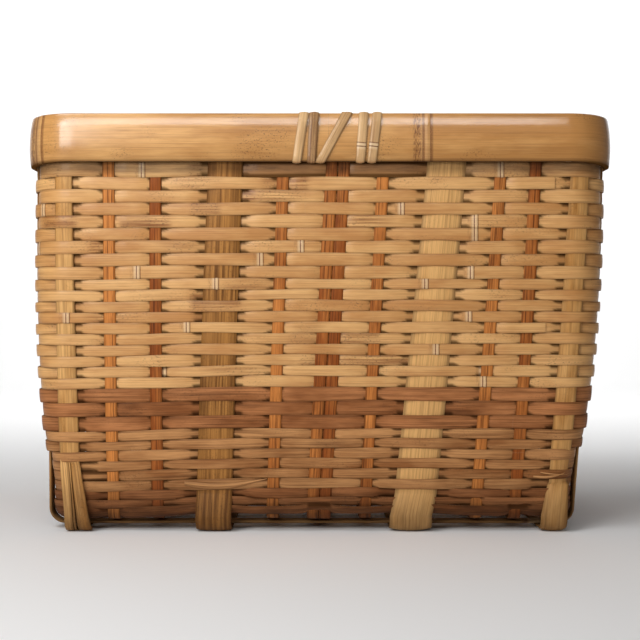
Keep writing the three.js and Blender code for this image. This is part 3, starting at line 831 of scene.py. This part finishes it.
def bamboo(name, pale, deep, line, fibre, grain, gloss, mould, coat, grime_and_shade_strength, patch, ridge, rings):
    """Split bamboo: fibres along the strip, blotches, mould, nodes with double lines and a painted highlight,
    painted shade in the hollows, darkening near the ground (dirt and painted shade) and a painted shadow
    under the rim.
    """
    material = bpy.data.materials.new(name)
    material.use_nodes = True
    tree = material.node_tree
    shader = tree.nodes["Principled BSDF"]
    place = attribute(tree, "strip", "Vector")
    wear = attribute(tree, "wear")
    dip = attribute(tree, "dip")

    def paint(over, share, strength):
        nonlocal colour
        colour = mix(tree, maths(tree, "MULTIPLY", share, strength), colour, over)

    blotch = noise(tree, place, 16, 60)
    toned = maths(tree, "MULTIPLY_ADD", attribute(tree, "tone"), 0.17, blotch)
    colour = mix(tree, ramp(tree, toned, (0.3, 0), (0.7, 1)), pale, deep)
    fibres = noise(tree, place, 8, grain, 4.0, 0.65)
    lines = ramp(tree, fibres, (0.48, 0), (0.66, 1))
    paint(line, lines, fibre)
    hair = noise(tree, place, 40, grain * 2.7, 2.0)
    paint(line, ramp(tree, hair, (0.5, 0), (0.75, 1)), fibre * 0.7)

    streaks = ramp(tree, noise(tree, place, 9, 450, 3.0), (0.4, 0), (0.6, 1))
    paint(line, streaks, maths(tree, "MULTIPLY", wear, 0.75))

    zone = maths(tree, "MULTIPLY_ADD", wear, 0.25, noise(tree, place, 17, 24, 1.0))
    spots = ramp(tree, noise(tree, place, 420, 620, 3.0, 0.7), (0.56, 0), (0.64, 1))
    spotted = maths(tree, "MULTIPLY", spots, ramp(tree, zone, (0.56, 0), (0.68, 1)))
    paint(MOULD, spotted, mould)

    # Nodes: two brown lines on a pale ridge, with a painted highlight on and beside the ridge
    from_knot = maths(tree, "MULTIPLY_ADD", attribute(tree, "knot"), 0.05, 0.5)
    ridge_and_sheen = ramp(tree, from_knot, *RIDGE_AND_SHEEN_RINGS)
    brown_lines = ramp(tree, from_knot, *rings)
    ragged = ramp(tree, noise(tree, place, 900, 500, 2.0), (0.3, 0.5), (0.5, 1))
    beside = ramp(tree, from_knot, (0.04, 0), (0.12, patch), (0.28, patch), (0.34, 0))
    mottled = ramp(tree, noise(tree, place, 800, 170, 4.0, 0.75), (0.44, 0), (0.58, 1))
    paint(NODE_BROWN, beside, mottled)
    paint(NODE_PALE_AND_SHEEN, ridge_and_sheen, ridge)
    paint(NODE_BROWN, brown_lines, ragged)

    paint(INNER_FACE, attribute(tree, "inner"), 0.3)
    # Darkening near the ground (dirt and painted shade) and the rim's painted shadow, made uneven
    uneven = ramp(tree, noise(tree, place, 30, 150, 3.0), (0.25, 0.55), (0.7, 1))
    paint(DIRT_AND_SHADE, maths(tree, "MULTIPLY", attribute(tree, "grime"), grime_and_shade_strength), uneven)
    # Painted shade in the hollows, along the strips' edges and at the rim's foot
    paint(DIRT_AND_SHADE, dip, 0.8)
    tree.links.new(colour, shader.inputs["Base Color"])

    rough = maths(tree, "MULTIPLY_ADD", fibres, 0.2, gloss - 0.1)
    rough = maths(tree, "MULTIPLY_ADD", attribute(tree, "grime"), 0.25, rough)
    tree.links.new(rough, shader.inputs["Roughness"])
    # Reflections fade where shade is painted
    for socket, level in (("Specular IOR Level", 0.35 if coat else 0.15), ("Coat Weight", coat)):
        tree.links.new(maths(tree, "MULTIPLY_ADD", dip, -level, level), shader.inputs[socket])
    shader.inputs["Coat Roughness"].default_value = 0.14
    relief = maths(tree, "MULTIPLY_ADD", hair, 0.4, fibres)
    bumped = node(tree, "ShaderNodeBump", {"Height": relief, "Strength": 0.35, "Distance": 0.0005})
    tree.links.new(bumped.outputs["Normal"], shader.inputs["Normal"])
    return material


def make_materials():
    made = {}
    for name, (pale, deep, line, *rest) in LOOKS.items():
        rings = WIDE_RINGS if name == "rim" else THIN_RINGS
        made[name] = bamboo(name, linear(*pale), linear(*deep), linear(*line), *rest, rings)
    return made


materials = make_materials()


def finish(cad_node, slot, solids, name=None):
    """A mesh made of solids, as the piece that stands for a CAD node and is named after it, or by name."""
    piece = build_mesh(name or "strip_" + cad_node, *joined(solids))
    piece.data.materials.append(materials[slot])
    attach(piece, "root")
    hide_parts(cad_node)


for row in rows:
    finish(f"weaver_{row.number:02d}", row.slot, weaver(row))


# Stakes and bands


def strip_path(side, item, runs, strip=0):
    """Centres, normals, ways across and half widths of a stake down one side, at runs down the wall.

    A strip of -1 or 1 is the left or the right one of a pair.
    """
    places = []
    forward = np.abs(SIDES[side][1])
    for run in runs:
        ring = Ring(run)
        at, half = stake_place(item, run)
        if strip:
            at += strip * (STAKE_WIDTH + PAIR_GAP) / 2
            half = STAKE_WIDTH / 2
        point, normal, _ = wall_places(ring, np.array([ring.distance(side, at)]), np.zeros(1))
        if run < 0:
            point[0, 2] = ROWS_TOP - run
        level = np.array([-normal[0][1], normal[0][0], 0.0])
        level *= np.sign(float(level[:2] @ forward)) / np.linalg.norm(level)
        places.append((point[0], normal[0], level, half))
    return [np.array(values) for values in zip(*places)]


def woven_path(side, item, runs, amount, strip=0):
    """A stake's path, bowed out in the rows that pass inside it, and in where they pass outside it."""
    crossing = crossing_of(side, item)
    path = strip_path(side, item, runs, strip)
    middles, levels = [-LEVEL_RUN], [0.0]
    for row in rows:
        ring = Ring(row.middle)
        x, y = ring.places(np.array([ring.distance(side, stake_place(item, row.middle)[0])]))[0][0]
        middles.append(row.middle - bow(row.top, x, y))
        levels.append(-amount if passes_outside(crossing, row) else amount)
    path[0] = path[0] + path[1] * np.interp(runs, middles, levels)[:, None]
    return path


def end_to_end(*paths):
    """Several paths as one."""
    return [np.concatenate(values) for values in zip(*paths)]


def chained(front, back):
    """The path down one side and the path up the other as one path."""
    return end_to_end(front, [values[::-1] for values in back])


def strip_along(path, profile, seed, tone, wear=0.0, bare=0.0, ridge=NODE_RIDGE):
    """A solid strip along a path, with no node before the length that is bare."""
    centres, normals, acrosses, halves = path
    along = lengths_along(centres)
    half = halves + waves(seed, along, 0.12, 220, 60)
    toned = tone + waves(seed + 5, along, 0.35, 500, 120)
    worn = wear * (0.8 + waves(seed + 9, along, 0.25, 300, 90))
    knots = [knot for knot in random_knots(seed, along[-1]) if knot > bare]
    return sweep(centres, normals, acrosses, along, profile, seed, half, toned, 0.0, worn, knots, ridge=ridge)


TOP_RUN = ROWS_TOP - STAKE_TOP
# The front's stakes have no node, so none is made on this length
FRONT_LENGTH = 400.0
WALL_RUNS = np.concatenate([np.arange(TOP_RUN, WALL_RUN, STAKE_STEP), np.linspace(WALL_RUN, WALL_END, 15)])


def cross_stake(item, strip, seed):
    front, back = [woven_path(side, item, WALL_RUNS, STAKE_LIFT, strip) for side in ("front", "back")]
    return strip_along(chained(front, back), STAKE_PROFILE, seed, item.tone + 0.25 * strip, 0.0, FRONT_LENGTH)


def band_path(side, item):
    """A power band down one side, in two stretches: woven in, and then free and bent under the base."""
    ends = band_ends(crossing_of(side, item))
    runs = np.append(np.arange(TOP_RUN, ends.leaves, STAKE_STEP), ends.leaves)
    woven = woven_path(side, item, runs, BAND_LIFT)
    at, half = stake_place(item, WALL_RUN)
    at += item.swing
    half += item.flare
    outward, forward = SIDES[side]
    out = np.array([*outward, 0.0])
    across = np.array([*np.abs(forward), 0.0])
    centre = np.array([*(Ring(WALL_RUN).centre * np.abs(outward)), 0.0])
    bend = []
    for angle in np.linspace(0, pi / 2, 13):
        distance = ends.bend_across - BAND_BEND_RADIUS * (1 - cos(angle))
        point = across * at + out * distance + centre
        point[2] = ends.bend_height - BAND_BEND_RADIUS * sin(angle)
        bend.append((point, out * cos(angle) - np.array([0, 0, sin(angle)]), across, half))
    bend = [np.array(values) for values in zip(*bend)]
    start, end = woven[0][-1], bend[0][0]
    steps = np.linspace(0, 1, 14)[1:-1]
    normal = np.cross(across, end - start)
    normal *= np.sign(normal @ out) / np.linalg.norm(normal)
    free = [
        start + np.outer(steps, end - start),
        np.broadcast_to(normal, (len(steps), 3)),
        np.broadcast_to(across, (len(steps), 3)),
        lerp(woven[3][-1], half, steps),
    ]
    return woven, end_to_end(free, bend)


def split_strands(path, item, seed):
    """The strands of a band that is split lengthwise, which spread towards its foot."""
    centres, normals, acrosses, halves = path
    bounds = [0, *item.splits, 1]
    profile = flat_profile(BAND_THICKNESS - 0.6, 0.5, 0.3)
    spread = smooth(np.linspace(0, 1, len(centres)) / 0.9)
    parts = []
    for i, (low, high) in enumerate(zip(bounds, bounds[1:])):
        last = i == len(bounds) - 2
        shift = (low + high - 1) * halves + spread * (4.0 if last else 0.6 * i - 0.3)
        strand = [
            centres + acrosses * shift[:, None] - normals * (spread * (i % 2) * 0.3)[:, None],
            normals,
            acrosses,
            (high - low) * halves - 0.12 + spread * (2.0 if last else 0.1),
        ]
        parts.append(strip_along(strand, profile, seed + i, item.tone + 0.5 * (i - 1), 0.6, FRONT_LENGTH))
    return parts


def band(item, sides, seed):
    """A power band, as one solid or, where its free part on the front is split, as several."""
    first, second = [band_path(side, item) for side in sides]
    style = (flat_profile(BAND_THICKNESS, item.crown, 0.5, 13), seed, item.tone, item.wear, FRONT_LENGTH, 0.0)
    rest = end_to_end(*second)
    if not item.splits:
        return [strip_along(chained(end_to_end(*first), rest), *style)]
    woven, free = first
    return [
        strip_along(woven, *style),
        strip_along(chained([values[-1:] for values in free], rest), *style),
        *split_strands(end_to_end([values[-3:] for values in woven], free), item, seed + 3),
    ]


def make_stakes():
    for number, item in enumerate(cross_stakes):
        seed = 300 + 10 * number
        if item.band:
            finish(item.name, "power_band", band(item, ("front", "back"), seed))
            continue
        strips = {-1: "_left", 1: "_right"} if item.pair else {0: ""}
        for strip, suffix in strips.items():
            finish(item.name + suffix, "stake", [cross_stake(item, strip, seed + strip)])
    for number, item in enumerate(long_stakes):
        if item.band:
            finish(item.name, "power_band", band(item, ("left", "right"), 500 + 10 * number))


make_stakes()


# Base


def base_crossings():
    """The places of the strips across the base, with a slat in each wide opening, and those of the slats."""
    feet = {item.name: item.foot for item in cross_stakes}
    slats = [
        (feet["stake_cross_2"] + feet["stake_cross_3"]) / 2,
        (feet["stake_cross_5"] + feet["stake_cross_6"]) / 2,
    ]
    return sorted(slats + [item.foot for item in cross_stakes if not item.band]), slats


BASE_CROSSINGS, CROSS_SLATS = base_crossings()
BASE_LEVEL = STAKE_THICKNESS + 0.5
DOWN = np.array([0.0, 0.0, -1.0])


def lane_heights(lane, positions):
    """The height of a lengthwise strip over and under the strips across the base."""
    steps = np.interp(positions, BASE_CROSSINGS, range(len(BASE_CROSSINGS)))
    before = np.floor(steps).astype(int)
    level = BASE_LEVEL * (-1.0) ** (before + lane)
    return lerp(level, -level, smooth(steps - before))


def flat_path(start, end, across, width, lane=None):
    """The path of a strip that lies in the base from start to end, over and under if it has a lane."""
    count = int(dist(start, end) / 4) + 2
    centres = np.zeros((count, 3))
    centres[:, :2] = np.array(start) + np.outer(np.linspace(0, 1, count), np.subtract(end, start))
    centres[:, 2] = BASE_HEIGHT
    if lane is not None:
        centres[:, 2] += lane_heights(lane, centres[:, 0])
    return [centres, np.tile(DOWN, (count, 1)), np.tile(across, (count, 1)), np.full(count, width / 2)]


def long_stake(item, lane, seed):
    left, right = [woven_path(side, item, WALL_RUNS, STAKE_LIFT) for side in ("left", "right")]
    start, end = left[0][-1][0] + 4, right[0][-1][0] - 4
    middle = flat_path((start, item.foot), (end, item.foot), [0.0, 1.0, 0.0], STAKE_WIDTH, lane)
    positions = middle[0][:, 0]
    ease = smooth((positions - start + 4) / 12) * smooth((end - positions + 4) / 12)
    middle[0][:, 2] = BASE_HEIGHT + ease * (middle[0][:, 2] - BASE_HEIGHT)
    return strip_along(chained(end_to_end(left, middle), right), STAKE_PROFILE, seed, item.tone)


def make_base():
    reach = Ring(WALL_END).spans["front"][2] - SLAT_END_MARGIN
    for number, at in enumerate(CROSS_SLATS, start=1):
        path = flat_path((at, -reach), (at, reach), [1.0, 0.0, 0.0], SLAT_WIDTH)
        solid = strip_along(path, STAKE_PROFILE, 600 + number, 0.2 * number)
        finish(f"base_slat_cross_{number}", "base_slat", [solid])
    thin = [item for item in long_stakes if not item.band]
    lanes = [(item.foot, item) for item in thin]
    lanes += [((one.foot + other.foot) / 2, None) for one, other in zip(thin, thin[1:])]
    lanes.sort(key=lambda lane: lane[0])
    slat_number = 0
    reach = SLAT_WIDTH / 2 + SLAT_END_MARGIN
    for lane, (y, item) in enumerate(lanes):
        if item:
            finish(item.name, "stake", [long_stake(item, lane, 640 + 10 * lane)])
            continue
        slat_number += 1
        ends = (BASE_CROSSINGS[0] - reach, y), (BASE_CROSSINGS[-1] + reach, y)
        path = flat_path(*ends, [0.0, 1.0, 0.0], SLAT_WIDTH, lane)
        solid = strip_along(path, STAKE_PROFILE, 620 + slat_number, 0.3)
        finish(f"base_slat_long_{slat_number}", "base_slat", [solid])


make_base()


# Rim


def hoop(name, outline, slot, seed, cad_node, knots=(), wander=0.0, sag=(0.0, 0.0)):
    """A hoop round the wall's top: an outline of offsets, heights and shares of the ridge, carried round it.

    On the sides its foot and its top lie lower by the two amounts of sag.
    """
    ring = Ring(0.0)
    start = ring.distance("back", HOOP_START)
    turned = [start + (knot - start) % ring.length for knot in knots]
    distances = stations(start, start + ring.length - 3.0, HOOP_STEP, turned)
    points, outs = ring.places(distances)
    outline = np.array(outline)
    along = distances - start
    count, corners = len(distances), len(outline)
    knot = to_knot(distances, knots, ring.length)
    swell = 0.5 * np.exp(-((knot / 2.2) ** 2)) + wander * np.sin(2 * pi * 9 * along / ring.length) - wander
    offsets = outline[None, :, 0] + outline[None, :, 2] * swell[:, None]
    flat = points[:, None, :] + outs[:, None, :] * offsets[..., None]
    lower = lerp(sag[0], sag[1], np.clip((outline[:, 1] - RIM_FOOT) / RIM_HEIGHT, 0, 1))
    heights = outline[None, :, 1] - outs[:, :1] ** 2 * lower[None, :]
    solid = np.concatenate([flat, heights[..., None]], axis=-1).reshape(-1, 3)
    faces = [(a, d, c, b) for a, b, c, d in tube_faces(count, corners, closed=True)]
    values = point_values(
        along,
        heights,
        seed,
        knot=RIM_NODE_SCALE * knot,
        # Tone: random along the rim, and deeper towards the right as painted shade
        tone=waves(seed, along, 0.5, 900, 200) + RIM_RIGHT_SHADE * smooth((points[:, 0] - 60) / 180),
        # Painted shade on the rim's foot and the lower part of its face
        dip=0.8 * smooth((RIM_FOOT + 3 - heights) / 3.5) + 0.2 * smooth((RIM_FOOT + 26 - heights) / 22),
        wear=np.clip(waves(seed + 3, along, 0.8, 500, 120) - 0.5, 0, 0.6),
        inner=0,
        grime=0,
    )
    finish(cad_node, slot, [(solid, faces, values)], name)


def outer_rim_outline():
    """The outer hoop's section: its face leans back towards the top and draws in at the foot."""
    ends, leans = np.array(RIM_LEANS, dtype=float).T
    stretches = [np.linspace(one, other, 3, endpoint=False) for one, other in zip(ends, ends[1:])]
    below = np.append(np.concatenate(stretches), ends[-1])[::-1]
    slopes = np.tan(np.radians(np.interp(below, ends, leans)))
    offsets = np.append(0.0, np.cumsum((slopes[1:] + slopes[:-1]) / 2 * np.diff(below)))
    offsets += RIM_FACE_OFFSET - RIM_SKIN_MARGIN - offsets.max()
    outline = [(RIM_BACK_OFFSET, RIM_FOOT, 0)]
    outline += [(offset, RIM_TOP - distance, 1) for offset, distance in zip(offsets, below)]
    outline.append((RIM_BACK_OFFSET, RIM_TOP - 0.4, 0))
    return outline


def make_rim():
    first = Ring(0.0).distance("front", RIM_NODE_PLACE)
    knots = [first + RIM_NODE_SPACING * i for i in range(5)]
    hoop("rim_outer_hoop", outer_rim_outline(), "rim", 700, "rim_outer_band", knots, 0.15, RIM_SAG)
    inner_foot = RIM_TOP - INNER_RIM_HEIGHT
    inner = [(2.4, RIM_TOP), (0.9, RIM_TOP - 1), (0, RIM_TOP - 4), (0, inner_foot + 4), (1, inner_foot)]
    inner = [(INNER_FACE_OFFSET + inset, height, 0) for inset, height in inner]
    inner += [(-RIM_BACK_OFFSET, inner_foot, 0), (-RIM_BACK_OFFSET, RIM_TOP - 0.4, 0)]
    hoop("rim_inner_hoop", inner, "rim", 720, "rim_inner_band", [knot + 150 for knot in knots])
    half, top = RIM_BACK_OFFSET - SEAT_GAP, RIM_TOP - SEAT_GAP
    filler = [(-half, FILLER_FOOT, 0), (half, FILLER_FOOT, 0), (half, top - 0.8, 0), (half - 0.8, top, 0)]
    filler += [(0.8 - half, top, 0), (-half, top - 0.8, 0)]
    hoop("rim_filler_strip", filler, "stake", 740, "rim_filler")


make_rim()


# Lashings: where each turn crosses the rim's foot and its top, in widths of the strip, and its tone
FRONT_TURNS = [
    (-2.47, -1.68, -0.4), (-0.93, -0.6, 2.4), (0, 2.89, 0.2), (4.23, 4.63, -0.2), (5.45, 6.05, 0.0)
]
BACK_TURNS = [(-2.47, -1.89, 0.2), (-1.26, -0.68, -0.3), (-0.05, 0.53, 0.4)]
LASHING_TAIL_HEIGHT = 30.0
LASHING_NODE_HEIGHT = 391.0


def rounded(points, step, times):
    """A polyline with points at a step along it, and its corners cut as often as asked."""
    dense = [points[0]]
    for one, other in zip(points, points[1:]):
        count = max(1, int(np.linalg.norm((other - one)[:3]) / step))
        dense += [lerp(one, other, (i + 1) / count) for i in range(count)]
    points = np.array(dense)
    for _ in range(times):
        cut = np.empty((2 * len(points) - 2, points.shape[1]))
        cut[0::2] = lerp(points[:-1], points[1:], 0.25)
        cut[1::2] = lerp(points[:-1], points[1:], 0.75)
        points = np.vstack([points[:1], cut, points[-1:]])
    return points


def lashing(side, turns, seed):
    """One strip wound round both hoops. Its path's points: a place along, an outset, a height and a tone."""
    lift = SEAT_GAP + LASHING_THICKNESS / 2
    sign = 1 if side == "back" else -1
    outer = RIM_FACE_OFFSET + lift
    inner = INNER_FACE_OFFSET - lift
    foot, top = RIM_FOOT - lift, RIM_TOP + lift
    up = [(2, foot, 0), (0, foot + 4, 0.08), (0, top - 8, 0.84), (3.6, top - 1.2, 0.97)]
    at, _, tone = turns[0]
    path = [(at, inner, foot + LASHING_TAIL_HEIGHT, tone), (at, inner, foot, tone)]
    for i, (low, high, tone) in enumerate(turns):
        path += [(lerp(low, high, share), outer - inset, height, tone) for inset, height, share in up]
        path += [(high, outer - 5, top, tone), (high, inner, top, tone)]
        if i + 1 < len(turns):
            path.append((turns[i + 1][0], inner, foot, turns[i + 1][2]))
        else:
            path.append((high, inner, foot + LASHING_TAIL_HEIGHT, tone))
    path = rounded(np.array(path) * (LASHING_WIDTH, 1, 1, 1), 4.0, 2)
    centres = np.column_stack([path[:, 0], sign * (WALL_DEPTH / 2 + path[:, 1]), path[:, 2]])
    tangents = np.gradient(centres, axis=0)
    tangents /= np.linalg.norm(tangents, axis=1)[:, None]
    acrosses = np.array([1.0, 0.0, 0.0]) - tangents * tangents[:, :1]
    acrosses /= np.linalg.norm(acrosses, axis=1)[:, None]
    normals = -sign * np.cross(acrosses, tangents)
    along = lengths_along(centres)
    half = LASHING_WIDTH / 2 + 0.4 * (path[:, 2] - foot) / RIM_HEIGHT - 0.3
    half += waves(seed, along, 0.15, 120, 30)
    toned = path[:, 3] + waves(seed + 1, along, 0.3, 90, 30)
    worn = np.clip(path[:, 3] - 0.5, 0, 1)
    knots = []
    for low, high, _ in turns[3:]:
        away = np.abs(path[:, :3] - (lerp(low, high, 0.33) * LASHING_WIDTH, outer, LASHING_NODE_HEIGHT))
        knots.append(along[np.argmin(away @ (1, 5, 1))])
    course = (centres, normals, acrosses, along)
    return sweep(*course, LASHING_PROFILE, seed, half, toned, 0.0, worn, knots, ridge=0.0)


finish("rim_lashing_front", "lashing", [lashing("front", FRONT_TURNS, 800)])
finish("rim_lashing_back", "lashing", [lashing("back", BACK_TURNS, 820)])


# Camera, floor and lights


CAMERA_DISTANCE = 1.6
CAMERA_HEIGHT = 0.216


def make_camera():
    data = bpy.data.cameras.new("camera")
    data.sensor_width = 36.0
    data.lens = 78.75
    camera = placed("camera", data)
    camera.location = (0.0, -CAMERA_DISTANCE, CAMERA_HEIGHT)
    camera.rotation_euler = (pi / 2, 0.0, 0.0)
    bpy.context.scene.camera = camera


def make_backdrop():
    """A pale floor that curves up behind the object."""
    radius, depth, half, top = 0.8, 2.6, 4.0, 3.2
    outline = [(-6.0, 0.0), (depth, 0.0)]
    for angle in np.linspace(0, pi / 2, 12)[1:]:
        outline.append((depth + radius * sin(angle), radius - radius * cos(angle)))
    outline.append((depth + radius, top))
    points = [(x, y, z) for y, z in outline for x in (-half, half)]
    faces = [(2 * i, 2 * i + 1, 2 * i + 3, 2 * i + 2) for i in range(len(outline) - 1)]
    mesh = bpy.data.meshes.new("backdrop")
    mesh.from_pydata(points, [], faces)
    mesh.polygons.foreach_set("use_smooth", np.ones(len(faces), dtype=bool))
    backdrop = placed("backdrop", mesh)
    material = bpy.data.materials.new("backdrop")
    material.use_nodes = True
    shader = material.node_tree.nodes["Principled BSDF"]
    shader.inputs["Base Color"].default_value = (0.9, 0.9, 0.9, 1.0)
    shader.inputs["Roughness"].default_value = 0.9
    mesh.materials.append(material)


def softbox(name, location, target, size, power, colour=(1.0, 1.0, 1.0)):
    light = bpy.data.lights.new(name, "AREA")
    light.color = colour
    light.shape = "RECTANGLE"
    light.size, light.size_y = size
    light.energy = power
    lamp = placed(name, light)
    lamp.location = location
    way = Vector(target) - Vector(location)
    lamp.rotation_euler = way.to_track_quat("-Z", "Y").to_euler()


make_camera()
make_backdrop()
softbox("key", (-0.45, -1.35, 0.98), (-0.45, -0.2, 0.35), (1.8, 0.12), 5.6)
softbox("strip", (-0.81, -1.55, 0.76), (-0.25, -0.2, 0.35), (0.68, 0.6), 9.6)
softbox("high", (-0.65, -0.75, 1.3), (0.0, -0.2, 0.3), (0.6, 0.4), 6)
softbox("fill", (1.3, -1.5, 1.0), (0.0, 0.0, 0.2), (0.8, 0.8), 0.4, (1.0, 0.72, 0.45))
softbox("sweep", (0.0, 0.8, 2.4), (0.0, 3.0, 1.74), (3.0, 1.0), 110)

world = bpy.data.worlds.new("world")
world.use_nodes = True
background = world.node_tree.nodes["Background"]
background.inputs["Color"].default_value = (1.0, 1.0, 1.0, 1.0)
background.inputs["Strength"].default_value = 0.12
bpy.context.scene.world = world
bpy.context.scene.view_settings.view_transform = "Standard"
